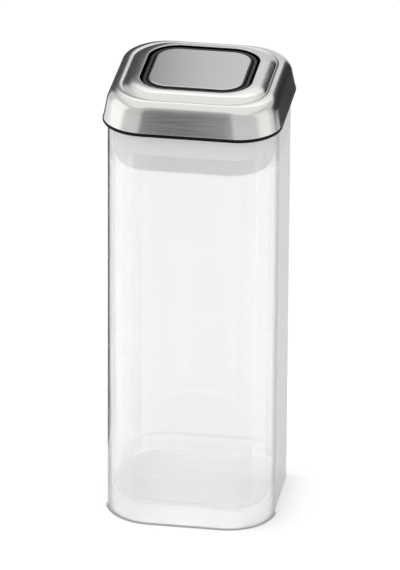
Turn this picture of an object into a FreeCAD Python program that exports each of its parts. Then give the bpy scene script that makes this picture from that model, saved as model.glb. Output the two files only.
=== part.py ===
"""Square storage canister with a push-top lid.

A clear square jar with rounded corners carries a lid with a steel cover. Pressing the button in the lid
tips four rocker arms, which draw a plate up under a soft gasket, so that the gasket swells against the
inside of the jar. A second press lets the button spring up, which drops the plate and frees the lid.

Millimetres. The origin is the centre of the jar's foot, +Z is up and the front of the canister faces -Y.
The button is modelled pressed in, with the lid sealed.
"""

import FreeCAD, Part

import math
import os

from FreeCAD import Vector

# Jar
jar_width = 100.0
jar_corner_r = 28.0
jar_height = 249.5
jar_wall = 3.0
jar_base = 8.0
jar_foot_r = 1.2
jar_floor_r = 9.0
jar_lip_r = 0.8

# Black ring between the jar's lip and the lid
ring_height = 2.2
ring_overhang = 2.3
ring_bead_r = 0.9

# Button: a steel plate on a black body
plate_width = 54.8
plate_corner_r = 12.5
plate_thick = 0.8
plate_edge_r = 0.35
plate_proud = 0.4
plate_sink = 0.2
plate_fit_gap = 0.05
button_border = 1.0
button_edge_r = 0.5
button_top_wall = 3.0
button_skirt_wall = 1.8
button_skirt_gap = 0.4
press_travel = 8.0
latch_overtravel = 1.0

# Bezel, which guides the button
guide_gap = 0.4
bezel_wall = 2.4
bezel_sink = 0.8
bezel_edge_r = 0.7
bezel_foot = 4.0
bezel_foot_thick = 1.6
bezel_groove = 1.5

# Steel cover: a leaning skirt, a rounded shoulder, a crease and a crown round the button
cover_overhang = 2.0
cover_sheet = 0.6
cover_corner_share = 0.49
crease_corner_share = 0.58
shoulder_width = 10.1
shoulder_height = 17.5
shoulder_drop = 9.0
shoulder_start_deg = 13.7
shoulder_end_deg = 107.0
shoulder_steps = 7
crown_width = 9.2
crown_rise = 3.3
crown_start_deg = 35.0
crown_steps = 5
lip_depth = 2.6
lip_r = 0.25

# Frame inside the cover
frame_thick = 2.0
frame_gap = 0.4
frame_hole_gap = 0.4
crown_wall = 1.8
crown_wall_gap = 0.8
crown_wall_drop = 2.3

# Rocker arms, their ears and pins
arm_count = 4
arm_out = 6.5
arm_width = 8.0
arm_bar = 2.8
tip_r = 2.0
hub_r = 3.4
pin_r = 1.25
running_gap = 0.06
seat_gap = 0.02
ear_gap = 0.4
ear_wall = 3.0
tip_gap = 0.2

# Gasket, its carrier and the pressure plate
seal_gap = 0.3
gasket_height = 13.6
gasket_edge_r = 0.9
carrier_gap = 0.3
carrier_wall = 2.0
carrier_floor = 2.0
carrier_floor_gap = 0.5
tray_gap = 1.4
tray_wall = 2.5
tray_floor = 2.2
tray_height = 11.0
tray_edge_r = 3.0
tray_lip_r = 0.6
hook_roof = 1.5
hook_roof_gap = 0.3
hook_back = 1.6
hook_back_gap = 0.5
hook_side = 1.5
hook_front_gap = 0.8
window_gap = 0.5

# Stem and spring
groove_gap = 0.25
spool_r = 7.9
spool_gap = 0.6
spool_flange = 1.4
spool_flange_margin = 0.3
spool_bore_r = 5.6
stem_top_wall = 2.5
guide_post_r = 3.4
guide_post_height = 15.2
spring_r = 4.6
spring_wire_r = 0.45
spring_turns = 8
spring_seat_gap = 0.1

# Latch: a wire follower in a track on the stem
follower_gap = 2.0
follower_wire_r = 0.8
follower_pivot_height = 3.2
follower_pivot_length = 4.0
follower_swing = 2.4
follower_bracket_gap = 0.3
follower_bracket_wall = 1.6
follower_bracket_depth = 2.6
cam_reach = 3.6
cam_track_depth = 2.5
cam_track_gap = 0.4
cam_tip_gap = 0.4
cam_wall = 1.5
cam_return_share = 0.4

# Screws
screw_corner_gap = 6.4
screw_boss_r = 3.2
screw_boss_drop = 9.7
screw_shank_r = 1.3
screw_head_r = 2.6
screw_head = 1.8
screw_grip = 5.0
screw_hole_gap = 0.2
stem_screw_r = 1.2
stem_screw_grip = 2.2

# One overrun for every cut, and the most of a thickness that a round on both its edges takes
cut_over = 1.0
round_limit_share = 0.45

# Half widths, each from the piece that it fits
jar_half = jar_width / 2
jar_inner_half = jar_half - jar_wall
jar_inner_r = jar_corner_r - jar_wall
ring_half = jar_half + ring_overhang
cover_half = jar_half + cover_overhang
plate_half = plate_width / 2
button_half = plate_half + button_border
guide_half = button_half + guide_gap
bezel_half = guide_half + bezel_wall
opening_half = bezel_half + bezel_groove
chimney_half = opening_half + cover_sheet
gasket_half = jar_inner_half - seal_gap
tray_half = jar_inner_half - tray_gap
tray_inner_half = tray_half - tray_wall
carrier_half = tray_inner_half - carrier_gap
carrier_inner_half = carrier_half - carrier_wall
gasket_inner_half = carrier_half + carrier_gap

# The crown and the shoulder share the band between the opening and the skirt's foot
band_width = cover_half - opening_half
crease_half = opening_half + band_width * crown_width / (crown_width + shoulder_width)

# Heights, from the jar's lip up and down
ring_top_z = jar_height + ring_height
frame_top_z = ring_top_z + frame_thick
shoulder_mid_z = ring_top_z + shoulder_height - shoulder_drop
gasket_bottom_z = jar_height - gasket_height
tray_bottom_z = gasket_bottom_z - tray_height
tray_floor_z = tray_bottom_z + tray_floor

# The shoulder is part of an ellipse that runs on from the straight skirt and ends at the crease
shoulder_start = math.radians(shoulder_start_deg)
shoulder_end = math.radians(shoulder_end_deg)
skirt_top_z = shoulder_mid_z + shoulder_drop * math.sin(shoulder_start)
skirt_height = skirt_top_z - ring_top_z
skirt_turn = skirt_height / shoulder_drop * math.tan(shoulder_start)
shoulder_turn = math.cos(shoulder_start) - math.cos(shoulder_end)
shoulder_reach = (cover_half - crease_half) / (shoulder_turn + skirt_turn)
shoulder_mid_half = crease_half - shoulder_reach * math.cos(shoulder_end)
skirt_lean = math.atan(shoulder_reach / shoulder_drop * math.tan(shoulder_start))
crease_z = shoulder_mid_z + shoulder_drop * math.sin(shoulder_end)
lip_z = crease_z + crown_rise

# The button stands level with the lip
plate_top_z = lip_z - plate_sink
button_rim_z = plate_top_z - plate_proud
plate_seat_z = plate_top_z - plate_thick
button_under_z = plate_seat_z - button_top_wall
button_skirt_z = frame_top_z + latch_overtravel + button_skirt_gap
bezel_top_z = lip_z - bezel_sink
spring_top_z = button_under_z - stem_top_wall

# The arms reach from the stem's groove to the hooks beside the carrier's wall
hook_outer_place = carrier_inner_half - hook_back_gap
slot_end_place = hook_outer_place - hook_back
fulcrum_place = slot_end_place - tip_gap - tip_r - arm_out
hook_front_place = fulcrum_place + hub_r + hook_front_gap
arm_in = fulcrum_place - spool_r - spool_gap - tip_r
arm_ratio = arm_out / arm_in

# They swing as far above level as below it, so half the travel sets the angle
arm_swing = math.asin(press_travel / 2 / arm_in)
hook_top_z = ring_top_z - hook_roof_gap - latch_overtravel * arm_ratio
tip_out_z = hook_top_z - hook_roof - tip_gap - tip_r
fulcrum_z = tip_out_z - arm_out * math.sin(arm_swing)
tip_in_z = fulcrum_z - arm_in * math.sin(arm_swing)
tip_in_place = fulcrum_place - arm_in * math.cos(arm_swing)

# The stem's groove takes the inner tips, and the carrier's floor lies just under the stem
groove_half = tip_r + groove_gap
spool_low_z = tip_in_z - groove_half - spool_flange
spool_flange_top_z = tip_in_z + groove_half + spool_flange
spool_flange_r = tip_in_place + tip_r + spool_flange_margin
carrier_floor_z = spool_low_z - latch_overtravel - carrier_floor_gap
carrier_bottom_z = carrier_floor_z - carrier_floor

# The follower stands beside the stem, and its tip lies in the track above the upper flange
cam_block_place = spool_r + cam_reach
cam_margin = follower_wire_r + cam_track_gap + cam_wall
follower_place = spool_flange_r + follower_gap + follower_wire_r
follower_pivot_z = carrier_floor_z + follower_pivot_height
follower_tip_z = spool_flange_top_z + press_travel + cam_margin

# The frame's hole lets the stem, the arms' inner ends and the follower through
frame_hole_half = follower_place + follower_wire_r + follower_swing + frame_hole_gap

# Screw bosses stand in the carrier's corners, and each cup round a head has the boss's own wall
carrier_inner_r = jar_inner_r - (jar_inner_half - carrier_inner_half)
screw_reach = carrier_inner_r - screw_boss_r - screw_corner_gap
screw_place = carrier_inner_half - carrier_inner_r + screw_reach * math.sqrt(0.5)
screw_boss_z = ring_top_z - screw_boss_drop
screw_seat_z = carrier_bottom_z + screw_head + screw_hole_gap
screw_recess_r = screw_head_r + screw_hole_gap
screw_cup_r = screw_recess_r + screw_boss_r - screw_shank_r


def cover_inner_half(z):
    """Half width inside the cover's straight skirt at one height."""
    return cover_half - (z - ring_top_z) * math.tan(skirt_lean) - cover_sheet / math.cos(skirt_lean)


def rounded_square(half, corner, z):
    """A square outline with round corners, as four lines and four arcs."""
    flat = half - corner
    bow = corner * math.sqrt(0.5)
    edges = []
    for turn in range(4):
        def at(x, y):
            angle = turn * math.pi / 2
            spun_x = x * math.cos(angle) - y * math.sin(angle)
            spun_y = x * math.sin(angle) + y * math.cos(angle)
            return Vector(spun_x, spun_y, z)

        edges.append(Part.LineSegment(at(half, -flat), at(half, flat)).toShape())
        arc = Part.Arc(at(half, flat), at(flat + bow, flat + bow), at(flat, half))
        edges.append(arc.toShape())
    return Part.Wire(edges)


def prism(half, corner, low, high):
    """A square bar with round corners between two heights."""
    return Part.Face(rounded_square(half, corner, low)).extrude(Vector(0, 0, high - low))


def tube(half, corner, inner_half, low, high):
    """A square tube of even wall."""
    inner_corner = corner - (half - inner_half)
    bore = prism(inner_half, inner_corner, low - cut_over, high + cut_over)
    return prism(half, corner, low, high).cut(bore)


def lid_corner(half):
    """Corner radius of the ring and the frame, whose outlines are scaled copies of the cover's foot."""
    return half * cover_corner_share


def button_corner(half):
    """Corner radius of what lies round the plate, an even distance from the plate's own edge."""
    return plate_corner_r + half - plate_half


def cover_corner(half):
    """Corner radius of the cover's outlines, from the opening by the crease to the skirt's foot."""
    crease_r = crease_half * crease_corner_share
    if half < crease_half:
        end, end_r = opening_half, button_corner(opening_half)
    else:
        end, end_r = cover_half, lid_corner(cover_half)
    return end_r + (crease_r - end_r) * (half - end) / (crease_half - end)


def inner_corner(half):
    """Corner radius of what lies inside the jar, even with the jar's own wall."""
    return jar_inner_r - (jar_inner_half - half)


def edges_at(shape, z, half=None):
    """Edges that lie at one height, on one outline if its half width is given."""
    found = []
    near = seat_gap / 2
    for edge in shape.Edges:
        box = edge.BoundBox
        if abs(box.ZMin - z) > near or abs(box.ZMax - z) > near:
            continue
        reach = max(abs(box.XMin), abs(box.XMax), abs(box.YMin), abs(box.YMax))
        if half is None or abs(reach - half) < near:
            found.append(edge)
    return found


def around(shape):
    """Copies of one shape at every arm's place, from the front round by the right."""
    return [turned(shape, place) for place in range(arm_count)]


def turned(shape, place):
    copy = shape.copy()
    copy.rotate(Vector(0, 0, 0), Vector(0, 0, 1), 360.0 / arm_count * place)
    return copy


def box(x_low, x_high, y_low, y_high, z_low, z_high):
    size = (x_high - x_low, y_high - y_low, z_high - z_low)
    return Part.makeBox(*size, Vector(x_low, y_low, z_low))


def rod(radius, x_centre, y_centre, low, high):
    """An upright round bar."""
    return Part.makeCylinder(radius, high - low, Vector(x_centre, y_centre, low))


def cross_rod(radius, length, y, z):
    """A round bar along X, centred on the arm's middle plane."""
    return Part.makeCylinder(radius, length, Vector(-length / 2, y, z), Vector(1, 0, 0))


def jar():
    """Clear jar with a thick base, a rounded foot and a rounded floor."""
    outer = prism(jar_half, jar_corner_r, 0, jar_height)
    outer = outer.makeFillet(jar_foot_r, edges_at(outer, 0))
    cavity = prism(jar_inner_half, jar_inner_r, jar_base, jar_height + cut_over)
    cavity = cavity.makeFillet(jar_floor_r, edges_at(cavity, jar_base))
    body = outer.cut(cavity)
    return body.makeFillet(jar_lip_r, edges_at(body, jar_height))


def rim_ring():
    """Black ring that rests on the jar's lip, with a rounded outer edge."""
    ring = tube(ring_half, lid_corner(ring_half), gasket_inner_half, jar_height, ring_top_z)
    rim = edges_at(ring, ring_top_z, ring_half) + edges_at(ring, jar_height, ring_half)
    return ring.makeFillet(min(ring_bead_r, ring_height * round_limit_share), rim)


def skirt_sections(inset):
    """Outlines at the foot and the top of the straight skirt, moved in by the inset."""
    return [(cover_half - inset / math.cos(skirt_lean), ring_top_z), shoulder_sections(inset)[0]]


def shoulder_sections(inset):
    """Outlines of the shoulder, from the skirt's top round to the crease, moved in by the inset."""
    sections = []
    for step in range(shoulder_steps + 1):
        angle = shoulder_start + (shoulder_end - shoulder_start) * step / shoulder_steps
        half = shoulder_mid_half + (shoulder_reach - inset) * math.cos(angle)
        sections.append((half, shoulder_mid_z + (shoulder_drop - inset) * math.sin(angle)))
    return sections


def crown_sections(inset):
    """Outlines of the crown, from the crease in to the flat beside the opening, moved in by the inset."""
    start = math.radians(crown_start_deg)
    reach = (crease_half - chimney_half) / math.cos(start)
    rise = crown_rise / (1 - math.sin(start))
    sections = []
    for step in range(crown_steps + 1):
        angle = start + (math.pi / 2 - start) * step / crown_steps
        half = chimney_half + (reach - inset) * math.cos(angle)
        sections.append((half, lip_z - rise + (rise - inset) * math.sin(angle)))
    return sections


def lofted(sections):
    outlines = [rounded_square(half, cover_corner(half), z) for half, z in sections]
    return Part.makeLoft(outlines, True, len(sections) == 2)


def cover_block(inset):
    """The solid that the cover's outer or inner face encloses."""
    shoulder = shoulder_sections(inset)
    crown = crown_sections(inset)
    last_half, last_z = shoulder[-1]
    first_half, first_z = crown[0]
    waist_z = min(last_z, first_z) - cover_sheet
    neck = prism(first_half, cover_corner(first_half), waist_z, first_z)
    return lofted(skirt_sections(inset)).fuse([lofted(shoulder), neck, lofted(crown)])


def steel_cover():
    """Pressed sheet cover with an opening for the button and a lip turned down round it."""
    chimney = prism(chimney_half, cover_corner(chimney_half), lip_z - lip_depth, lip_z + cut_over)
    cavity = cover_block(cover_sheet).cut(chimney)
    floor = prism(cover_half, cover_corner(cover_half), ring_top_z - cut_over, ring_top_z)
    opening = prism(opening_half, cover_corner(opening_half), ring_top_z, lip_z + cut_over)
    shell = cover_block(0).cut(cavity).cut(floor).cut(opening)
    return shell.makeFillet(lip_r, edges_at(shell, lip_z, opening_half))


def lid_frame():
    """Moulded frame: a flange on the ring, a wall inside the cover, ears for the arms and screw bosses."""
    frame_half = cover_inner_half(frame_top_z) - frame_gap
    frame = prism(frame_half, cover_corner(frame_half), ring_top_z, frame_top_z)
    wall_top = skirt_top_z - crown_wall_drop
    wall_half = cover_inner_half(wall_top) - crown_wall_gap
    wall = tube(wall_half, cover_corner(wall_half), wall_half - crown_wall, ring_top_z, wall_top)
    hole = prism(frame_hole_half, lid_corner(frame_hole_half), ring_top_z - cut_over, frame_top_z + cut_over)
    frame = frame.fuse(wall).cut(hole)
    return frame.fuse(arm_ears() + screw_bosses()).removeSplitter()


def arm_ears():
    """Pairs of ears under the flange, bored for the pins."""
    inner = arm_width / 2 + ear_gap
    outer = inner + ear_wall
    near, far = fulcrum_place - hub_r, fulcrum_place + hub_r
    block = box(-outer, outer, -far, -near, fulcrum_z - hub_r, ring_top_z)
    block = block.cut(box(-inner, inner, -far, -near, fulcrum_z - hub_r, ring_top_z))
    bore = cross_rod(pin_r + seat_gap, 2 * (outer + cut_over), -fulcrum_place, fulcrum_z)
    return around(block.cut(bore))


def screw_bosses():
    """Bosses under the flange with a pilot hole for each screw."""
    boss = rod(screw_boss_r, screw_place, screw_place, screw_boss_z, ring_top_z)
    pilot_r = screw_shank_r + seat_gap
    pilot = rod(pilot_r, screw_place, screw_place, screw_boss_z - cut_over, screw_boss_z + screw_grip)
    return around(boss.cut(pilot))


def button_bezel():
    """Black ring round the button, which guides it and stands on the frame."""
    wall = tube(bezel_half, button_corner(bezel_half), guide_half, frame_top_z, bezel_top_z)
    wall = wall.makeFillet(bezel_edge_r, edges_at(wall, bezel_top_z))
    foot_half = bezel_half + bezel_foot
    foot = tube(foot_half, button_corner(foot_half), guide_half, frame_top_z, frame_top_z + bezel_foot_thick)
    return wall.fuse(foot).removeSplitter()


def fulcrum_pins():
    """Steel pins, one through each pair of ears."""
    pin_length = arm_width + 2 * (ear_gap + ear_wall)
    return Part.makeCompound(around(cross_rod(pin_r, pin_length, -fulcrum_place, fulcrum_z)))


def rocker_arm(place):
    """Bar with a round hub on its pin, an inner tip in the stem's groove and an outer tip in a hook."""
    bar = box(-arm_width / 2, arm_width / 2, -arm_out, arm_in, -arm_bar / 2, arm_bar / 2)
    hub = cross_rod(hub_r, arm_width, 0, 0)
    tips = [cross_rod(tip_r, arm_width, arm_in, 0), cross_rod(tip_r, arm_width, -arm_out, 0)]
    bore = cross_rod(pin_r + running_gap, arm_width + 2 * cut_over, 0, 0)
    arm = bar.fuse([hub] + tips).cut(bore).removeSplitter()
    arm.rotate(Vector(0, 0, 0), Vector(1, 0, 0), -math.degrees(arm_swing))
    arm.translate(Vector(0, -fulcrum_place, fulcrum_z))
    return turned(arm, place)


def gasket_carrier():
    """Pale tub that closes the mechanism off, holds the gasket from inside and seats the spring."""
    body = prism(carrier_half, inner_corner(carrier_half), carrier_bottom_z, ring_top_z)
    body = body.cut(prism(carrier_inner_half, carrier_inner_r, carrier_floor_z, ring_top_z))
    side = arm_width / 2 + hook_side + window_gap
    low, high = carrier_bottom_z - cut_over, carrier_floor_z + cut_over
    window = box(-side, side, -carrier_inner_half, window_gap - hook_front_place, low, high)
    cup = rod(screw_cup_r, screw_place, screw_place, carrier_bottom_z, screw_boss_z)
    hole_r = screw_shank_r + screw_hole_gap
    hole = rod(hole_r, screw_place, screw_place, carrier_bottom_z - cut_over, screw_boss_z + cut_over)
    recess = rod(screw_recess_r, screw_place, screw_place, carrier_bottom_z - cut_over, screw_seat_z)
    post = rod(guide_post_r, 0, 0, carrier_bottom_z, carrier_floor_z + guide_post_height)
    body = body.fuse(around(cup) + [post]).cut(around(window) + around(hole) + around(recess))
    return body.fuse(follower_bracket()).removeSplitter()


def on_diagonal(shape):
    """Turns a shape that was made along +X to the corner between the right arm and the rear arm."""
    shape.rotate(Vector(0, 0, 0), Vector(0, 0, 1), 45.0)
    return shape


def follower_bracket():
    """Small block on the carrier's floor with a bore for the follower's foot."""
    near = follower_place + follower_wire_r + follower_bracket_gap
    side = follower_wire_r + follower_bracket_wall
    far = near + follower_bracket_depth
    block = box(near, far, -side, side, carrier_bottom_z, follower_pivot_z + side)
    mouth = Vector(near - cut_over, 0, follower_pivot_z)
    bore_length = follower_bracket_depth + 2 * cut_over
    bore = Part.makeCylinder(follower_wire_r + running_gap, bore_length, mouth, Vector(1, 0, 0))
    return on_diagonal(block.cut(bore))


def latch_follower():
    """Bent steel wire: a foot in the bracket, an upright and a tip in the cam track."""
    knee = Vector(follower_place, 0, follower_pivot_z)
    elbow = Vector(follower_place, 0, follower_tip_z)
    tip_length = follower_place - (cam_block_place - cam_track_depth + cam_tip_gap)
    foot = Part.makeCylinder(follower_wire_r, follower_pivot_length, knee, Vector(1, 0, 0))
    upright = Part.makeCylinder(follower_wire_r, follower_tip_z - follower_pivot_z, knee)
    tip = Part.makeCylinder(follower_wire_r, tip_length, elbow, Vector(-1, 0, 0))
    bends = [Part.makeSphere(follower_wire_r, knee), Part.makeSphere(follower_wire_r, elbow)]
    return on_diagonal(upright.fuse([foot, tip] + bends).removeSplitter())


def track_leg(start, end):
    """One straight leg of the cam track, cut into the block's face. Points are (sideways, height)."""
    half = follower_wire_r + cam_track_gap
    run = Vector(0, end[0] - start[0], end[1] - start[1])
    across = Vector(0, -run.z, run.y).normalize() * half
    floor_x = cam_block_place - cam_track_depth
    first = Vector(floor_x, start[0], start[1])
    last = Vector(floor_x, end[0], end[1])
    outline = [first + across, last + across, last - across, first - across, first + across]
    leg = Part.Face(Part.makePolygon(outline)).extrude(Vector(cam_track_depth + cut_over, 0, 0))
    ends = [
        Part.makeCylinder(half, cam_track_depth + cut_over, point, Vector(1, 0, 0))
        for point in (first, last)
    ]
    return leg.fuse(ends)


def cam_block():
    """Block on the stem with the latch's track.

    The follower's tip runs down one leg as the button rises, and back by the other as it is pressed.
    """
    drift = follower_swing / press_travel
    over = (-drift * latch_overtravel, follower_tip_z + latch_overtravel)
    latched = (0.0, follower_tip_z)
    popped = (follower_swing, follower_tip_z - press_travel)
    back = (-follower_swing, follower_tip_z - press_travel * cam_return_share)
    side = follower_swing + cam_margin
    top = follower_tip_z + latch_overtravel + cam_margin
    block = box(spool_r / 2, cam_block_place, -side, side, spool_flange_top_z, top)
    legs = ((latched, popped), (popped, back), (back, over), (over, latched))
    return on_diagonal(block.cut([track_leg(start, end) for start, end in legs]))


def button_stem():
    """Spool under the button: a groove for the arms' tips, a bore for the spring and the latch's track."""
    barrel = rod(spool_r, 0, 0, spool_low_z, button_under_z)
    lower = rod(spool_flange_r, 0, 0, spool_low_z, tip_in_z - groove_half)
    upper = rod(spool_flange_r, 0, 0, tip_in_z + groove_half, spool_flange_top_z)
    bore = rod(spool_bore_r, 0, 0, spool_low_z - cut_over, spring_top_z)
    hole = rod(stem_screw_r + screw_hole_gap, 0, 0, spring_top_z - cut_over, button_under_z + cut_over)
    return barrel.fuse([lower, upper, cam_block()]).cut([bore, hole]).removeSplitter()


def button_body():
    """Black button: a cup with a seat for the steel plate and a hole for the stem's screw."""
    corner = button_corner(button_half)
    cup = prism(button_half, corner, button_skirt_z, button_rim_z)
    cup = cup.makeFillet(button_edge_r, edges_at(cup, button_rim_z))
    hollow_half = button_half - button_skirt_wall
    hollow = prism(hollow_half, corner - button_skirt_wall, button_skirt_z - cut_over, button_under_z)
    seat_half = plate_half + plate_fit_gap
    seat = prism(seat_half, button_corner(seat_half), plate_seat_z, button_rim_z + cut_over)
    pilot_top = button_under_z + stem_screw_grip + screw_hole_gap
    pilot = rod(stem_screw_r + seat_gap, 0, 0, button_under_z - cut_over, pilot_top)
    return cup.cut([hollow, seat, pilot])


def button_plate():
    """Bare steel plate with a softened edge, seated in the button."""
    plate = prism(plate_half, plate_corner_r, plate_seat_z, plate_top_z)
    return plate.makeFillet(plate_edge_r, edges_at(plate, plate_top_z))


def screw(shank_r, head_r, seat_z, length):
    """Pan-head screw that points up, with its head's upper face at the seat."""
    head = rod(head_r, 0, 0, seat_z - screw_head, seat_z)
    head = head.makeFillet(screw_head / 2, edges_at(head, seat_z - screw_head))
    return head.fuse(rod(shank_r, 0, 0, seat_z, seat_z + length)).removeSplitter()


def stem_screw():
    """Screw that draws the stem up against the button."""
    return screw(stem_screw_r, screw_head_r, spring_top_z, stem_top_wall + stem_screw_grip)


def carrier_screws():
    """Screws up through the carrier's floor into the frame's bosses."""
    end_z = screw_boss_z + screw_grip - screw_hole_gap
    one = screw(screw_shank_r, screw_head_r, screw_seat_z, end_z - screw_seat_z)
    one.translate(Vector(screw_place, screw_place, 0))
    return Part.makeCompound(around(one))


def biarc(start, start_way, end, end_way):
    """Two arcs that join two points and keep the directions at both."""
    chord = end - start
    both = start_way + end_way
    rate = 2 * (1 - start_way.dot(end_way))
    along = chord.dot(both)
    reach = (math.sqrt(along * along + rate * chord.dot(chord)) - along) / rate
    start_knot = start + start_way * reach
    end_knot = end - end_way * reach
    middle = (start_knot + end_knot) * 0.5
    return [arc_from(start, start_way, middle), arc_from(middle, (end_knot - middle).normalize(), end)]


def arc_from(start, way, end):
    """The arc that leaves a point in a given direction and ends at another."""
    chord = end - start
    normal = chord - way * chord.dot(way)
    height = normal.Length
    normal = normal.normalize()
    radius = chord.dot(chord) / (2 * height)
    centre = start + normal * radius
    towards = ((start + end) * 0.5 - centre).normalize()
    return Part.Arc(start, centre + towards * radius, end).toShape()


def button_spring():
    """Coil spring round the carrier's post, up inside the stem."""
    low = carrier_floor_z + spring_wire_r + spring_seat_gap
    high = spring_top_z - spring_wire_r - spring_seat_gap
    pitch = (high - low) / spring_turns
    halves = 2 * spring_turns

    def point(step):
        angle = math.pi * step
        return Vector(spring_r * math.cos(angle), spring_r * math.sin(angle), low + pitch / 2 * step)

    def way(step):
        angle = math.pi * step
        along = Vector(-spring_r * math.sin(angle), spring_r * math.cos(angle), pitch / (2 * math.pi))
        return along.normalize()

    edges = []
    quarters = 2 * halves
    for quarter in range(quarters):
        start, end = quarter / 2, (quarter + 1) / 2
        edges += biarc(point(start), way(start), point(end), way(end))
    section = Part.Wire(Part.makeCircle(spring_wire_r, point(0), way(0)))
    spring = Part.Wire(edges).makePipeShell([section], True, False)
    wire_length = math.hypot(2 * math.pi * spring_r, pitch) * spring_turns
    wanted = math.pi * spring_wire_r ** 2 * wire_length
    points = [point(step / 32) for step in range(32 * halves + 1)]
    gap = min((points[i + 64] - points[i]).Length for i in range(len(points) - 64)) - 2 * spring_wire_r
    print(f"spring: volume {spring.Volume:.2f} of {wanted:.2f} mm3, least gap to itself {gap:.2f} mm")
    return spring


def seal_gasket():
    """Silicone ring between the black ring and the pressure plate, just clear of the jar."""
    ring = tube(gasket_half, inner_corner(gasket_half), gasket_inner_half, gasket_bottom_z, jar_height)
    outer = edges_at(ring, gasket_bottom_z, gasket_half) + edges_at(ring, jar_height, gasket_half)
    return ring.makeFillet(gasket_edge_r, outer)


def pressure_plate():
    """Pale tray that squeezes the gasket from below, with a hook over each rocker arm's outer tip."""
    body = prism(tray_half, inner_corner(tray_half), tray_bottom_z, gasket_bottom_z)
    body = body.makeFillet(tray_edge_r, edges_at(body, tray_bottom_z))
    body = body.makeFillet(tray_lip_r, edges_at(body, gasket_bottom_z))
    hollow = prism(tray_inner_half, inner_corner(tray_inner_half), tray_floor_z, gasket_bottom_z + cut_over)
    return body.cut(hollow).fuse(around(hook())).removeSplitter()


def hook():
    """Post on the tray with a slot, open towards the middle, for an arm's outer tip."""
    side = arm_width / 2 + hook_side
    slot_half = tip_r + tip_gap
    low, high = tip_out_z - slot_half, tip_out_z + slot_half
    post = box(-side, side, -hook_outer_place, -hook_front_place, tray_floor_z, hook_top_z)
    wide = side + cut_over
    return post.cut(box(-wide, wide, -slot_end_place, cut_over - hook_front_place, low, high))


def export(name, shape):
    shape.exportStep(os.path.join("parts", name + ".step"))


def main():
    os.makedirs("parts", exist_ok=True)
    export("jar", jar())
    export("rim_ring", rim_ring())
    export("steel_cover", steel_cover())
    export("lid_frame", lid_frame())
    export("button_bezel", button_bezel())
    export("fulcrum_pins", fulcrum_pins())
    for place, side in enumerate(("front", "right", "rear", "left")):
        export("rocker_arm_" + side, rocker_arm(place))
    export("gasket_carrier", gasket_carrier())
    export("latch_follower", latch_follower())
    export("button_stem", button_stem())
    export("button_body", button_body())
    export("button_plate", button_plate())
    export("stem_screw", stem_screw())
    export("carrier_screws", carrier_screws())
    export("button_spring", button_spring())
    export("seal_gasket", seal_gasket())
    export("pressure_plate", pressure_plate())


main()
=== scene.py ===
"""Dresses a tall square storage canister with a push-top lid: its shapes, finishes, light and camera.

Lengths are in metres. +Z is up, the canister stands on the floor at the origin and its front faces -Y.
"""

import math

import bpy
from mathutils import Matrix, Vector


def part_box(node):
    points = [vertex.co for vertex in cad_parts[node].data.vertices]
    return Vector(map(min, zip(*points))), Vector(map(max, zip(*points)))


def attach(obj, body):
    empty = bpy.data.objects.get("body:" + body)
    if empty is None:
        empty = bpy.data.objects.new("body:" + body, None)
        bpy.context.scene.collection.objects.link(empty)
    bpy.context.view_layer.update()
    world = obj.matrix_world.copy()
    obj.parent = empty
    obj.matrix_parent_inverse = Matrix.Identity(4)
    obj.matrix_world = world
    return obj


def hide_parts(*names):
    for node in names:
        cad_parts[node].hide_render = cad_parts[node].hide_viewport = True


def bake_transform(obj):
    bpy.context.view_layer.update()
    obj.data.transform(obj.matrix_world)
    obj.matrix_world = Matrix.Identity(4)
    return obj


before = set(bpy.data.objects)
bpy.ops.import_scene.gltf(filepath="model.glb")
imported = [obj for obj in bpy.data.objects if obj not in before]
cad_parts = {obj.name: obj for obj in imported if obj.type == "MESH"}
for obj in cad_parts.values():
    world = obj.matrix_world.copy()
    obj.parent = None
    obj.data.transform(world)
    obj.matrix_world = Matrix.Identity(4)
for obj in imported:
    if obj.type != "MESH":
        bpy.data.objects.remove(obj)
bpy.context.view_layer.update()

MM = 0.001
SAME_POINT = 1e-6
# Edges that are broken but not rounded for the hand: those of stamped or turned metal, and of mouldings
METAL_EDGE = 0.1 * MM
FINE_EDGE = 0.2 * MM
SOFT_EDGE = 0.3 * MM

bl_info = {
    "name": "Push-top canister",
    "version": (1, 0, 0),
    "blender": (4, 5, 0),
    "location": "3D View > Sidebar > Canister",
    "description": "Builds the dressed pieces of a square push-top canister, its light and its camera",
    "category": "Object",
}


def linear(colour):
    """Linear red, green, blue and alpha of an sRGB hex colour."""
    parts = [int(colour[i:i + 2], 16) / 255 for i in (1, 3, 5)]
    return [c / 12.92 if c <= 0.04045 else ((c + 0.055) / 1.055) ** 2.4 for c in parts] + [1.0]


def darker(tone, share):
    """A linear colour with this share of its brightness."""
    return [c * share for c in tone[:3]] + [1.0]


def add(tree, kind, inputs=None, **settings):
    """Adds one node with its settings. Each input is a value or the socket that it is linked from.

    Inputs go by name, or by number where that is shorter or names repeat: a Map Range has its value at 0, the range
    that it comes from at 1 and 2 and the one that it goes to at 3 and 4, and a Mix has its two numbers at 2 and 3 or
    its two colours at 6 and 7.
    """
    node = tree.nodes.new(kind)
    for name, value in settings.items():
        setattr(node, name, value)
    for key, value in (inputs or {}).items():
        if isinstance(value, bpy.types.NodeSocket):
            tree.links.new(value, node.inputs[key])
        else:
            node.inputs[key].default_value = value
    return node


def length(name, description, default):
    """A size in metres, never below zero."""
    return bpy.props.FloatProperty(
        name=name, description=description, default=default, min=0.0, subtype="DISTANCE", unit="LENGTH")


def angle(name, description, default):
    """An angle, with its default in degrees."""
    return bpy.props.FloatProperty(
        name=name, description=description, default=math.radians(default), subtype="ANGLE", unit="ROTATION")


def colour(name, description, default):
    """A colour, with its default in sRGB hex."""
    return bpy.props.FloatVectorProperty(
        name=name, description=description, default=linear(default), size=4, min=0.0, max=1.0, subtype="COLOR")


def top_of(node):
    """Height of a CAD node's highest point."""
    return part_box(node)[1].z


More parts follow.
